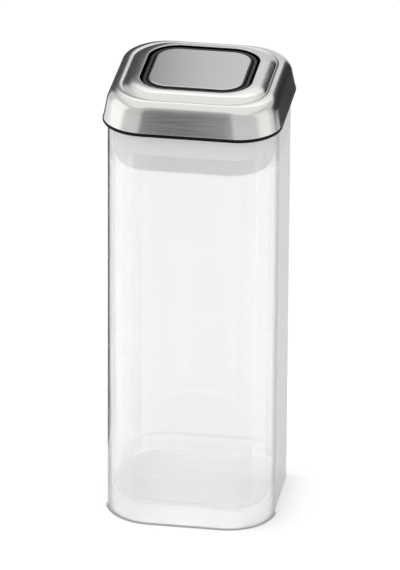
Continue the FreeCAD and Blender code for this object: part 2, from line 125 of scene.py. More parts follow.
def foot_of(node):
    """Height of a CAD node's lowest point."""
    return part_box(node)[0].z


def half_of(node):
    """Half width of a CAD node, which lies about the middle."""
    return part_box(node)[1].x


class CanisterJarSettings(bpy.types.PropertyGroup):
    """Sizes and tint of the clear jar."""

    straight: length("Straight side", "Half of the straight run between two corners, inside and out", 22 * MM)
    wall: length("Wall", "Thickness of the wall", 3 * MM)
    base: length("Base", "Thickness of the base", 8 * MM)
    foot_round: length("Foot round", "Radius round the foot", 1.2 * MM)
    floor_round: length("Floor round", "Radius between the wall and the floor inside", 9 * MM)
    lip_round: length("Lip round", "Radius of the lip's two edges", 0.8 * MM)
    tint: colour("Tint", "Colour of the clear material, one wall thick", "#DADADA")


class CanisterLidSettings(bpy.types.PropertyGroup):
    """Sizes and colours of the lid's outside."""

    corner_share: bpy.props.FloatProperty(
        name="Corner share", description="Corner radius at the skirt's foot as a share of the half width",
        default=0.49, min=0.0, max=1.0, subtype="FACTOR")
    crease_share: bpy.props.FloatProperty(
        name="Crease share", description="Corner radius at the crease as a share of the half width",
        default=0.58, min=0.0, max=1.0, subtype="FACTOR")
    sheet: length("Sheet", "Thickness of the steel sheet", 0.6 * MM)
    shoulder_width: length("Shoulder width", "From the skirt's foot in to the crease", 10.1 * MM)
    shoulder_height: length("Shoulder height", "From the skirt's foot up to the top of the shoulder", 17.5 * MM)
    shoulder_drop: length("Shoulder drop", "Height of the rounded part of the shoulder", 9 * MM)
    shoulder_start: angle("Shoulder start", "Where the straight skirt meets the shoulder's ellipse", 13.7)
    shoulder_end: angle("Shoulder end", "Where the shoulder's ellipse meets the crease", 107)
    crown_width: length("Crown width", "From the crease in to the opening", 9.2 * MM)
    crown_rise: length("Crown rise", "From the crease up to the lip", 3.3 * MM)
    crown_start: angle("Crown start", "Where the crown's ellipse leaves the crease", 35)
    lip_depth: length("Lip depth", "How far the lip turns down round the button", 2.6 * MM)
    lip_round: length("Lip round", "Radius of the lip's edge", 0.5 * MM)
    ring_bead: length("Ring bead", "Radius of the black ring's outer edge", 0.9 * MM)
    steel: colour("Steel", "Colour of the brushed steel", "#D8D7D5")
    black: colour("Black", "Colour of the black plastic", "#0D0D0D")


class CanisterButtonSettings(bpy.types.PropertyGroup):
    """Sizes of the button and of the bezel that guides it."""

    plate_corner: length("Plate corner", "Corner radius of the steel plate's outline", 12.5 * MM)
    plate_edge: length("Plate edge", "Radius of the steel plate's edge", 0.35 * MM)
    body_edge: length("Body edge", "Radius of the button body's upper edge", 0.5 * MM)
    top_wall: length("Top wall", "Thickness of the button body under the plate", 3 * MM)
    skirt_wall: length("Skirt wall", "Thickness of the button body's skirt", 1.8 * MM)
    guide_gap: length("Guide gap", "Gap between the button and the bezel", 0.4 * MM)
    bezel_wall: length("Bezel wall", "Width of the bezel's wall", 2.4 * MM)
    bezel_edge: length("Bezel edge", "Radius of the bezel's upper edges", 0.7 * MM)
    bezel_foot: length("Bezel foot", "Thickness of the bezel's foot", 1.6 * MM)
    pilot: length("Pilot", "Radius of the hole for the stem's screw", 1.22 * MM)
    pilot_depth: length("Pilot depth", "Depth of the hole for the stem's screw", 2.4 * MM)


class CanisterSealSettings(bpy.types.PropertyGroup):
    """Sizes and colours of the gasket and the plate that squeezes it."""

    gasket_wall: length("Gasket wall", "Thickness of the gasket", 3.6 * MM)
    gasket_edge: length("Gasket edge", "Radius of the gasket's outer edges", 0.5 * MM)
    press: length("Press", "How far the gasket presses into the jar's wall", 0.03 * MM)
    tray_wall: length("Tray wall", "Thickness of the pressure plate's wall", 2.5 * MM)
    tray_floor: length("Tray floor", "Thickness of the pressure plate's floor", 2.2 * MM)
    tray_edge: length("Tray edge", "Radius round the pressure plate's underside", 3 * MM)
    tray_lip: length("Tray lip", "Radius of the pressure plate's upper edge", 1.7 * MM)
    hook_front: length("Hook front", "Distance of a hook's open side from the middle", 34.2 * MM)
    hook_back: length("Hook back", "Thickness of a hook's back", 1.6 * MM)
    hook_outer: length("Hook outer", "Distance of a hook's back from the middle", 40.3 * MM)
    hook_half: length("Hook half", "Half of a hook's width", 5.5 * MM)
    hook_roof: length("Hook roof", "Thickness of a hook over its slot", 1.5 * MM)
    hook_slot: length("Hook slot", "Height of a hook's slot", 4.4 * MM)
    silicone: colour("Silicone", "Colour of the gasket", "#FAFAFA")
    plastic: colour("Plastic", "Colour of the pale plastic", "#F0F0F0")


class CanisterHardwareSettings(bpy.types.PropertyGroup):
    """Sizes of the spring, screws and pins inside the lid."""

    wire: length("Spring wire", "Radius of the spring's wire", 0.45 * MM)
    turns: bpy.props.IntProperty(name="Spring turns", description="Turns of the spring", default=8, min=1)
    shank: length("Screw shank", "Radius of the screws that hold the carrier", 1.3 * MM)
    stem_shank: length("Stem screw shank", "Radius of the screw that holds the stem", 1.2 * MM)
    head: length("Screw head", "Height of a screw's head", 1.8 * MM)
    pin_length: length("Pin length", "Length of an arm's pin", 14.8 * MM)
    pin_edge: length("Pin edge", "Radius of a pin's ends", 0.3 * MM)


class CanisterStageSettings(bpy.types.PropertyGroup):
    """The camera's place and the stage."""

    azimuth: angle("Azimuth", "How far the camera stands to the right of the front", 8.73)
    elevation: angle("Elevation", "How far the camera looks down", 25.16)
    roll: angle("Roll", "Turn of the camera about its own line of sight", 0.36)
    distance: length("Distance", "From the camera to the point that it looks at", 4.0)
    aim_height: length("Aim height", "Height of the point that the camera looks at", 133.9 * MM)
    aim_right: length("Aim right", "How far that point lies to the right of the middle", 0.76 * MM)
    lens: bpy.props.FloatProperty(
        name="Lens", description="Focal length in millimetres on a 36 mm wide frame", default=614.0, min=1.0)
    floor: colour("Floor", "Colour of the floor", "#F4F4F4")


class CanisterSettings(bpy.types.PropertyGroup):
    """All that a user would change."""

    jar: bpy.props.PointerProperty(type=CanisterJarSettings, name="Jar", description="The clear jar")
    lid: bpy.props.PointerProperty(type=CanisterLidSettings, name="Lid", description="The lid's outside")
    button: bpy.props.PointerProperty(type=CanisterButtonSettings, name="Button", description="Button and bezel")
    seal: bpy.props.PointerProperty(type=CanisterSealSettings, name="Seal", description="Gasket and its plate")
    hardware: bpy.props.PointerProperty(
        type=CanisterHardwareSettings, name="Hardware", description="Spring, screws and pins")
    stage: bpy.props.PointerProperty(type=CanisterStageSettings, name="Stage", description="Camera and stage")


def new_group(name, inputs, output):
    """A geometry tree with these inputs and one output, and the sockets that give its inputs."""
    tree = bpy.data.node_groups.new(name, "GeometryNodeTree")
    for label, kind in inputs.items():
        tree.interface.new_socket(name=label, in_out="INPUT", socket_type="NodeSocket" + kind)
    tree.interface.new_socket(name=output, in_out="OUTPUT", socket_type="NodeSocketGeometry")
    return tree, add(tree, "NodeGroupInput").outputs


def close_group(tree, geometry, material):
    """Ends a geometry tree in one plain mesh with its material."""
    mesh = add(tree, "GeometryNodeRealizeInstances", {"Geometry": geometry}).outputs[0]
    mesh = add(tree, "GeometryNodeSetMaterial", {"Geometry": mesh, "Material": material}).outputs[0]
    add(tree, "NodeGroupOutput", {0: mesh})
    return tree


def square_sweep_tree():
    """Carries a profile round a square with round corners.

    Each profile point holds its half width in X, its corner radius in Y and its height in Z, and its distance
    along the profile in the attribute run. The grain map follows the outline, or X where the grain is straight.
    """
    name = "Square sweep"
    if name in bpy.data.node_groups:
        return bpy.data.node_groups[name]
    inputs = {"Profile": "Geometry", "Corner Steps": "Int", "Side Steps": "Int", "Straight Grain": "Bool",
              "Material": "Material"}
    tree, given = new_group(name, inputs, "Shell")

    # One column of the grid for each step round the outline, one row for each profile point
    rows = add(tree, "GeometryNodeAttributeDomainSize", {0: given["Profile"]}).outputs["Point Count"]
    quarter = add(tree, "ShaderNodeMath", {0: given["Corner Steps"], 1: given["Side Steps"]}, operation="ADD")
    columns = add(tree, "ShaderNodeMath", {0: quarter.outputs[0], 1: 4.0, 2: 1.0}, operation="MULTIPLY_ADD")
    grid = add(tree, "GeometryNodeMeshGrid", {"Vertices X": columns.outputs[0], "Vertices Y": rows})
    index = add(tree, "GeometryNodeInputIndex").outputs[0]
    row = add(tree, "ShaderNodeMath", {0: index, 1: rows}, operation="MODULO").outputs[0]
    column = add(tree, "ShaderNodeMath", {0: index, 1: rows}, operation="DIVIDE").outputs[0]
    column = add(tree, "ShaderNodeMath", {0: column}, operation="FLOOR").outputs[0]
    turn = add(tree, "ShaderNodeMath", {0: column, 1: quarter.outputs[0]}, operation="DIVIDE").outputs[0]
    turn = add(tree, "ShaderNodeMath", {0: turn}, operation="FLOOR").outputs[0]
    step = add(tree, "ShaderNodeMath", {0: column, 1: quarter.outputs[0]}, operation="MODULO").outputs[0]

    # Half width, corner radius, height and run of the profile point that this grid point stands for
    place = add(tree, "GeometryNodeInputPosition").outputs[0]
    point = add(tree, "GeometryNodeSampleIndex", {"Geometry": given["Profile"], "Value": place, "Index": row},
                data_type="FLOAT_VECTOR")
    point = add(tree, "ShaderNodeSeparateXYZ", {0: point.outputs[0]}).outputs
    run = add(tree, "GeometryNodeInputNamedAttribute", {"Name": "run"}, data_type="FLOAT").outputs[0]
    run = add(tree, "GeometryNodeSampleIndex", {"Geometry": given["Profile"], "Value": run, "Index": row},
              data_type="FLOAT").outputs[0]

    # Along the straight side first, from -1 to 1, and then through the corner's quarter circle
    flat = add(tree, "ShaderNodeMath", {0: point[0], 1: point[1]}, operation="SUBTRACT").outputs[0]
    side = add(tree, "ShaderNodeMapRange", {0: step, 1: 0.0, 2: given["Side Steps"], 3: -1.0, 4: 1.0}).outputs[0]
    bend = add(tree, "ShaderNodeMapRange",
               {0: step, 1: given["Side Steps"], 2: quarter.outputs[0], 3: 0.0, 4: math.pi / 2}).outputs[0]
    cosine = add(tree, "ShaderNodeMath", {0: bend}, operation="COSINE").outputs[0]
    sine = add(tree, "ShaderNodeMath", {0: bend}, operation="SINE").outputs[0]
    x = add(tree, "ShaderNodeMath", {0: point[1], 1: cosine, 2: flat}, operation="MULTIPLY_ADD").outputs[0]
    y = add(tree, "ShaderNodeMath", {0: flat, 1: side}, operation="MULTIPLY").outputs[0]
    y = add(tree, "ShaderNodeMath", {0: point[1], 1: sine, 2: y}, operation="MULTIPLY_ADD").outputs[0]
    spot = add(tree, "ShaderNodeCombineXYZ", {0: x, 1: y, 2: point[2]}).outputs[0]
    spin = add(tree, "ShaderNodeMath", {0: turn, 1: math.pi / 2}, operation="MULTIPLY").outputs[0]
    spot = add(tree, "ShaderNodeVectorRotate", {"Vector": spot, "Angle": spin}, rotation_type="Z_AXIS").outputs[0]

    # The grain map: length round the outline and length along the profile
    along = add(tree, "ShaderNodeMath", {0: flat, 1: side, 2: flat}, operation="MULTIPLY_ADD").outputs[0]
    along = add(tree, "ShaderNodeMath", {0: point[1], 1: bend, 2: along}, operation="MULTIPLY_ADD").outputs[0]
    whole = add(tree, "ShaderNodeMath", {0: point[1], 1: math.pi / 4, 2: flat}, operation="MULTIPLY_ADD").outputs[0]
    whole = add(tree, "ShaderNodeMath", {0: whole, 1: 2.0}, operation="MULTIPLY").outputs[0]
    along = add(tree, "ShaderNodeMath", {0: turn, 1: whole, 2: along}, operation="MULTIPLY_ADD").outputs[0]
    grain = add(tree, "ShaderNodeCombineXYZ", {0: along, 1: run}).outputs[0]
    grain = add(tree, "GeometryNodeSwitch", {0: given["Straight Grain"], 1: grain, 2: spot},
                input_type="VECTOR").outputs[0]
    grain = add(tree, "GeometryNodeFieldOnDomain", {0: grain}, data_type="FLOAT_VECTOR", domain="POINT").outputs[0]

    shell = add(tree, "GeometryNodeStoreNamedAttribute",
                {"Geometry": grid.outputs["Mesh"], "Name": "UVMap", "Value": grain},
                data_type="FLOAT2", domain="CORNER").outputs[0]
    shell = add(tree, "GeometryNodeSetPosition", {"Geometry": shell, "Position": spot}).outputs[0]
    shell = add(tree, "GeometryNodeMergeByDistance", {"Geometry": shell, "Distance": SAME_POINT}).outputs[0]
    shell = add(tree, "GeometryNodeSetShadeSmooth", {"Geometry": shell}).outputs[0]
    return close_group(tree, shell, given["Material"])


def ring_of_copies_tree():
    """Repeats a piece round the middle, after moving it out to its first place."""
    name = "Ring of copies"
    if name in bpy.data.node_groups:
        return bpy.data.node_groups[name]
    inputs = {"Piece": "Geometry", "Count": "Int", "Place": "Vector", "Material": "Material"}
    tree, given = new_group(name, inputs, "Ring")
    placed = add(tree, "GeometryNodeTransform", {"Geometry": given["Piece"], "Translation": given["Place"]})
    points = add(tree, "GeometryNodePoints", {"Count": given["Count"]})
    index = add(tree, "GeometryNodeInputIndex").outputs[0]
    share = add(tree, "ShaderNodeMath", {0: index, 1: given["Count"]}, operation="DIVIDE").outputs[0]
    spin = add(tree, "ShaderNodeMath", {0: share, 1: 2 * math.pi}, operation="MULTIPLY").outputs[0]
    spin = add(tree, "ShaderNodeCombineXYZ", {2: spin}).outputs[0]
    ring = add(tree, "GeometryNodeInstanceOnPoints",
               {"Points": points.outputs[0], "Instance": placed.outputs[0], "Rotation": spin}).outputs[0]
    return close_group(tree, ring, given["Material"])


def coil_tree():
    """Round wire wound into a spring, upright from the height of its first turn."""
    name = "Coil"
    if name in bpy.data.node_groups:
        return bpy.data.node_groups[name]
    inputs = {"Geometry": "Geometry", "Turns": "Float", "Radius": "Float", "Wire": "Float", "Low": "Float",
              "Height": "Float", "Material": "Material"}
    tree, given = new_group(name, inputs, "Spring")
    steps_a_turn, steps_round_wire = 40, 16
    line = add(tree, "GeometryNodeCurveSpiral",
               {"Resolution": steps_a_turn, "Rotations": given["Turns"], "Start Radius": given["Radius"],
                "End Radius": given["Radius"], "Height": given["Height"], "Reverse": True})
    rise = add(tree, "ShaderNodeCombineXYZ", {2: given["Low"]}).outputs[0]
    line = add(tree, "GeometryNodeTransform", {"Geometry": line.outputs[0], "Translation": rise}).outputs[0]
    section = add(tree, "GeometryNodeCurvePrimitiveCircle",
                  {"Resolution": steps_round_wire, "Radius": given["Wire"]}).outputs[0]
    wire = add(tree, "GeometryNodeCurveToMesh", {"Curve": line, "Profile Curve": section, "Fill Caps": True})
    wire = add(tree, "GeometryNodeSetShadeSmooth", {"Geometry": wire.outputs[0]}).outputs[0]
    return close_group(tree, wire, given["Material"])


def piece_object(name, data):
    """A new object in the scene for a mesh, a lamp or a camera."""
    piece = bpy.data.objects.new(name, data)
    bpy.context.scene.collection.objects.link(piece)
    return piece


def apply_tree(piece, tree, **values):
    """Runs a node tree on a piece with the named inputs and keeps the result as its plain mesh."""
    modifier = piece.modifiers.new(tree.name, "NODES")
    modifier.node_group = tree
    for item in tree.interface.items_tree:
        key = item.name.lower().replace(" ", "_")
        if item.in_out == "INPUT" and key in values:
            modifier[item.identifier] = values[key]
    graph = bpy.context.evaluated_depsgraph_get()
    made = bpy.data.meshes.new_from_object(piece.evaluated_get(graph), preserve_all_data_layers=True, depsgraph=graph)
    piece.modifiers.remove(modifier)
    old, piece.data = piece.data, made
    bpy.data.meshes.remove(old)
    made.name = piece.name
    if not made.polygons:
        raise RuntimeError(f"{piece.name} came out empty")


def outwards(piece):
    """Turns a closed shell's faces outwards."""
    mesh = piece.data
    mesh.calc_loop_triangles()
    volume = 0.0
    for triangle in mesh.loop_triangles:
        a, b, c = (mesh.vertices[i].co for i in triangle.vertices)
        volume += a.dot(b.cross(c))
    if volume < 0:
        mesh.flip_normals()
    return piece


def eased(corners, closed=False):
    """A profile of (half width, height) points from corners that each carry a radius.

    Each corner becomes an arc, with a point a little way along either run so that flat runs shade flat.
    """
    # An arc and its guard point keep to their half of a run
    arc_share, guard_share, guard_reach = 0.48, 0.49, 1.25
    small_radius, small_steps, least_steps, step_degrees = 2 * MM, 5, 4, 7.5
    points = []
    count = len(corners)
    for i, (half, height, radius) in enumerate(corners):
        here = Vector((half, height))
        if radius == 0 or (not closed and i in (0, count - 1)):
            points.append(here)
            continue
        before = Vector(corners[i - 1][:2]) - here
        after = Vector(corners[(i + 1) % count][:2]) - here
        opening = before.angle(after)
        sweep = math.pi - opening
        reach = min(radius / math.tan(opening / 2), arc_share * before.length, arc_share * after.length)
        true_radius = reach * math.tan(opening / 2)
        before_way, after_way = before.normalized(), after.normalized()
        middle = here + (before_way + after_way).normalized() * (true_radius / math.sin(opening / 2))
        steps = small_steps
        if true_radius > small_radius:
            steps = max(least_steps, math.ceil(math.degrees(sweep) / step_degrees))
        first = here + before_way * reach - middle
        last = here + after_way * reach - middle
        sign = 1 if first.x * last.y > first.y * last.x else -1
        points.append(here + before_way * min(reach * guard_reach, guard_share * before.length))
        for step in range(steps + 1):
            points.append(middle + Matrix.Rotation(sign * sweep * step / steps, 2) @ first)
        points.append(here + after_way * min(reach * guard_reach, guard_share * after.length))
    if closed:
        points.append(points[0].copy())
    return points


def band(inner, half, low, high, bead):
    """The profile of a flat ring whose outer edges are beads."""
    return eased([(inner, low, FINE_EDGE), (half, low, bead), (half, high, bead), (inner, high, FINE_EDGE)],
                 closed=True)


def even_corner(half):
    """Corner radius of the jar and of what fits inside it, whose straight sides are all alike."""
    straight = bpy.context.scene.canister.jar.straight
    # Nearer the middle than this, the straight side shrinks with the outline
    least = 1.44 * straight
    return half - straight if half > least else half * (least - straight) / least


def lid_corner(half):
    """Corner radius of the black ring and of the cover's foot."""
    return half * bpy.context.scene.canister.lid.corner_share


def button_corner(half):
    """Corner radius round the button: an even distance from the plate's edge, and less towards its middle."""
    least_share = 0.3
    even = bpy.context.scene.canister.button.plate_corner + half - half_of("button_plate")
    return max(even, half * least_share)


def round_corner(half):
    """Corner radius that makes the outline a circle."""
    return half


def swept(name, points, corner, material, straight_grain=False, corner_steps=20, side_steps=10):
    """A closed shell from a profile carried round a square outline."""
    mesh = bpy.data.meshes.new(name)
    mesh.from_pydata([(p.x, corner(p.x), p.y) for p in points], [(i, i + 1) for i in range(len(points) - 1)], [])
    run = mesh.attributes.new("run", "FLOAT", "POINT")
    travelled = 0.0
    for i, point in enumerate(points):
        if i:
            travelled += (point - points[i - 1]).length
        run.data[i].value = travelled
    piece = piece_object(name, mesh)
    apply_tree(piece, square_sweep_tree(), corner_steps=corner_steps, side_steps=side_steps,
               straight_grain=straight_grain, material=material)
    return outwards(piece)


def new_material(name):
    """An empty material and its tree."""
    material = bpy.data.materials.new(name)
    material.use_nodes = True
    material.node_tree.nodes.clear()
    return material, material.node_tree


def close_material(tree, shader):
    """Ends a material's tree in its shader."""
    add(tree, "ShaderNodeOutputMaterial", {"Surface": shader.outputs[0]})


def brushed_steel(name, tone):
    """Brushed stainless steel, rubbed along one direction with an abrasive belt.

    The fine scratches smear reflections across the grain and show as thin light and dark lines along it.
    """
    if name in bpy.data.materials:
        return bpy.data.materials[name]
    material, tree = new_material(name)
    # Scratches are about 0.1 mm apart and 20 mm long, and are drawn 0.7 mm apart so that they show
    scratch_length, scratch_gap = 20 * MM, 0.7 * MM
    grain = add(tree, "ShaderNodeUVMap", uv_map="UVMap").outputs[0]
    lines = add(tree, "ShaderNodeVectorMath", {0: grain, 1: (1 / scratch_length, 1 / scratch_gap, 1.0)},
                operation="MULTIPLY").outputs[0]
    lines = add(tree, "ShaderNodeTexNoise", {"Vector": lines, "Scale": 1.0, "Detail": 3.0, "Roughness": 0.65},
                noise_dimensions="2D").outputs[0]
    dark = darker(tone, 0.93)
    shade = add(tree, "ShaderNodeMix", {"Factor": lines, 6: dark, 7: tone}, data_type="RGBA").outputs[2]
    rough = add(tree, "ShaderNodeMapRange", {0: lines, 1: 0.25, 2: 0.75, 3: 0.16, 4: 0.24}).outputs[0]
    bump = add(tree, "ShaderNodeBump", {"Strength": 0.1, "Distance": 0.02 * MM, "Height": lines}).outputs[0]
    way = add(tree, "ShaderNodeTangent", direction_type="UV_MAP", uv_map="UVMap").outputs[0]
    steel = add(tree, "ShaderNodeBsdfPrincipled",
                {"Base Color": shade, "Metallic": 1.0, "Roughness": rough, "Anisotropic": 0.5,
                 "Tangent": way, "Normal": bump})
    close_material(tree, steel)
    return material


def clear_glass(name, tint):
    """Pressed soda-lime glass, fire polished: clear, with faint waves in the wall that bend what is behind it.

    Seen straight on, a wall of even thickness hardly bends the light, so most of it passes straight. Seen edge on, the
    real wall bends the light away; here the jar's dark outlines are painted shade, a darker and less clear colour on
    the near wall.
    """
    if name in bpy.data.materials:
        return bpy.data.materials[name]
    material, tree = new_material(name)
    painted_shade_tint, bent_share = linear("#585858"), 0.22
    wave_size, wave_depth = 30 * MM, 0.5 * MM

    # Waves from the mould
    place = add(tree, "ShaderNodeTexCoord").outputs["Object"]
    waves = add(tree, "ShaderNodeTexNoise", {"Vector": place, "Scale": 1 / wave_size, "Detail": 1.0}).outputs[0]
    bump = add(tree, "ShaderNodeBump", {"Strength": 0.05, "Distance": wave_depth, "Height": waves}).outputs[0]
    dark = darker(tint, 0.985)
    shade = add(tree, "ShaderNodeMix", {"Factor": waves, 6: dark, 7: tint}, data_type="RGBA").outputs[2]

    # How upright a face is, and whether it is the near side of the outer wall or is seen from inside the jar
    surface = add(tree, "ShaderNodeNewGeometry").outputs
    slope = add(tree, "ShaderNodeSeparateXYZ", {0: surface["Normal"]}).outputs[2]
    slope = add(tree, "ShaderNodeMath", {0: slope}, operation="ABSOLUTE").outputs[0]
    upright = add(tree, "ShaderNodeMapRange", {0: slope, 1: 0.1, 2: 0.8, 3: 1.0, 4: 0.0}).outputs[0]
    outward = add(tree, "ShaderNodeVectorMath", {0: place, 1: surface["Normal"]},
                  operation="DOT_PRODUCT").outputs["Value"]
    outward = add(tree, "ShaderNodeMath", {0: outward, 1: 0.0}, operation="GREATER_THAN").outputs[0]
    near = add(tree, "ShaderNodeMath", {0: outward, 1: surface["Backfacing"]}, operation="SUBTRACT",
               use_clamp=True).outputs[0]
    inside = add(tree, "ShaderNodeMath", {0: outward, 1: surface["Backfacing"]}, operation="MAXIMUM").outputs[0]
    inside = add(tree, "ShaderNodeMath", {0: 1.0, 1: inside}, operation="SUBTRACT").outputs[0]

    # The near outer wall turned edge on gets a painted dark outline, but not the foot or the floor
    facing = add(tree, "ShaderNodeLayerWeight", {"Blend": 0.5}).outputs["Facing"]
    rim = add(tree, "ShaderNodeMath", {0: facing, 1: upright}, operation="MULTIPLY").outputs[0]
    rim = add(tree, "ShaderNodeMapRange", {0: rim, 1: 0.42, 2: 0.82}, interpolation_type="SMOOTHSTEP").outputs[0]
    rim = add(tree, "ShaderNodeMath", {0: rim, 1: near}, operation="MULTIPLY").outputs[0]

    # Painted shade: a thin dark line along the round between the wall and the floor, seen from inside, where real
    # glass bends the light away
    line_slope, line_width, line_depth = 0.45, 0.16, 0.28
    bend = add(tree, "ShaderNodeMath", {0: slope, 1: line_slope}, operation="SUBTRACT").outputs[0]
    bend = add(tree, "ShaderNodeMath", {0: bend}, operation="ABSOLUTE").outputs[0]
    bend = add(tree, "ShaderNodeMapRange", {0: bend, 1: 0.0, 2: line_width, 3: line_depth, 4: 0.0},
               interpolation_type="SMOOTHSTEP").outputs[0]
    bend = add(tree, "ShaderNodeMath", {0: bend, 1: inside}, operation="MULTIPLY").outputs[0]
    painted_shade = add(tree, "ShaderNodeMath", {0: rim, 1: bend}, operation="MAXIMUM").outputs[0]

    # Painted shade: the dark outline and the thin line along the floor's round darken the glass colour and make it
    # less clear
    shade = add(tree, "ShaderNodeMix", {"Factor": painted_shade, 6: shade, 7: painted_shade_tint}, data_type="RGBA").outputs[2]
    solid = add(tree, "ShaderNodeMapRange", {0: painted_shade, 3: bent_share, 4: 1.0}).outputs[0]
    glass = add(tree, "ShaderNodeBsdfPrincipled",
                {"Base Color": shade, "Roughness": 0.0, "IOR": 1.5, "Transmission Weight": 1.0, "Normal": bump,
                 "Alpha": solid})
    close_material(tree, glass)
    return material


def moulded_plastic(name, tone, roughness, grit, depth, ior=1.5, glow=0.0, shine=0.5):
    """Injection-moulded plastic. The mould's spark-eroded grit breaks up its highlights and mottles it slightly."""
    if name in bpy.data.materials:
        return bpy.data.materials[name]
    material, tree = new_material(name)
    cloud, light_reach = 12 * MM, 4 * MM
    place = add(tree, "ShaderNodeTexCoord").outputs["Object"]
    grains = add(tree, "ShaderNodeTexNoise", {"Vector": place, "Scale": 1 / grit, "Detail": 2.0}).outputs[0]
    clouds = add(tree, "ShaderNodeTexNoise", {"Vector": place, "Scale": 1 / cloud, "Detail": 2.0}).outputs[0]
    dark = darker(tone, 0.94)
    shade = add(tree, "ShaderNodeMix", {"Factor": clouds, 6: dark, 7: tone}, data_type="RGBA").outputs[2]
    rough = add(tree, "ShaderNodeMapRange",
                {0: grains, 1: 0.3, 2: 0.7, 3: roughness * 0.85, 4: roughness * 1.15}).outputs[0]
    bump = add(tree, "ShaderNodeBump", {"Strength": 0.3, "Distance": depth, "Height": grains}).outputs[0]
    plastic = add(tree, "ShaderNodeBsdfPrincipled",
                  {"Base Color": shade, "Roughness": rough, "IOR": ior, "Normal": bump,
                   "Subsurface Weight": glow, "Subsurface Scale": light_reach, "Specular IOR Level": shine})
    close_material(tree, plastic)
    return material


def wire_steel(name, tone, roughness, spots):
    """Drawn or plated steel wire and screws: bright metal with a faint crystal mottle from its plating."""
    if name in bpy.data.materials:
        return bpy.data.materials[name]
    material, tree = new_material(name)
    place = add(tree, "ShaderNodeTexCoord").outputs["Object"]
    mottle = add(tree, "ShaderNodeTexNoise", {"Vector": place, "Scale": 1 / spots, "Detail": 3.0}).outputs[0]
    dark = darker(tone, 0.85)
    shade = add(tree, "ShaderNodeMix", {"Factor": mottle, 6: dark, 7: tone}, data_type="RGBA").outputs[2]
    rough = add(tree, "ShaderNodeMapRange",
                {0: mottle, 1: 0.3, 2: 0.7, 3: roughness * 0.8, 4: roughness * 1.2}).outputs[0]
    bump = add(tree, "ShaderNodeBump", {"Strength": 0.2, "Distance": 0.01 * MM, "Height": mottle}).outputs[0]
    metal = add(tree, "ShaderNodeBsdfPrincipled",
                {"Base Color": shade, "Metallic": 1.0, "Roughness": rough, "Normal": bump})
    close_material(tree, metal)
    return material


def black_plastic():
    # ABS with a fine satin grit of about 0.15 mm, drawn at 0.5 mm so that it shows
    tone = list(bpy.context.scene.canister.lid.black)
    return moulded_plastic("moulded_black_ABS", tone, 0.35, 0.5 * MM, 0.01 * MM, shine=0.25)


def pale_plastic():
    # Polypropylene, which lets a little light through, so its edges glow softly
    tone = list(bpy.context.scene.canister.seal.plastic)
    return moulded_plastic("moulded_pale_polypropylene", tone, 0.38, 0.6 * MM, 0.01 * MM, 1.49, 0.06)


def plated_steel():
    # Zinc plate has a fine mottle of about 0.8 mm
    return wire_steel("zinc_plated_steel", linear("#C2C3C5"), 0.3, 0.8 * MM)


def spring_steel():
    # Drawn wire is greyer, with die marks of about 0.5 mm
    return wire_steel("drawn_spring_steel", linear("#A9ABAF"), 0.28, 0.5 * MM)


def turned(name, points):
    """A small round piece of plated steel, turned about its own middle."""
    return swept(name, points, round_corner, plated_steel(), corner_steps=6, side_steps=1)


class CANISTER_OT_jar(bpy.types.Operator):
    """Builds the clear jar with its thick base"""

    bl_idname = "canister.jar"
    bl_label = "Jar"

    def execute(self, context):
        sizes = context.scene.canister.jar
        half, top = half_of("jar"), top_of("jar")
        inner = half - sizes.wall
        points = eased([
            (0, 0, 0),
            (half, 0, sizes.foot_round),
            (half, top, sizes.lip_round),
            (inner, top, sizes.lip_round),
            (inner, sizes.base, sizes.floor_round),
            (0, sizes.base, 0),
        ])
        jar = swept("canister_jar", points, even_corner, clear_glass("pressed_clear_glass", list(sizes.tint)),
                    corner_steps=28)
        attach(jar, "jar")
        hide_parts("jar")
        jar.visible_shadow = False
        return {"FINISHED"}


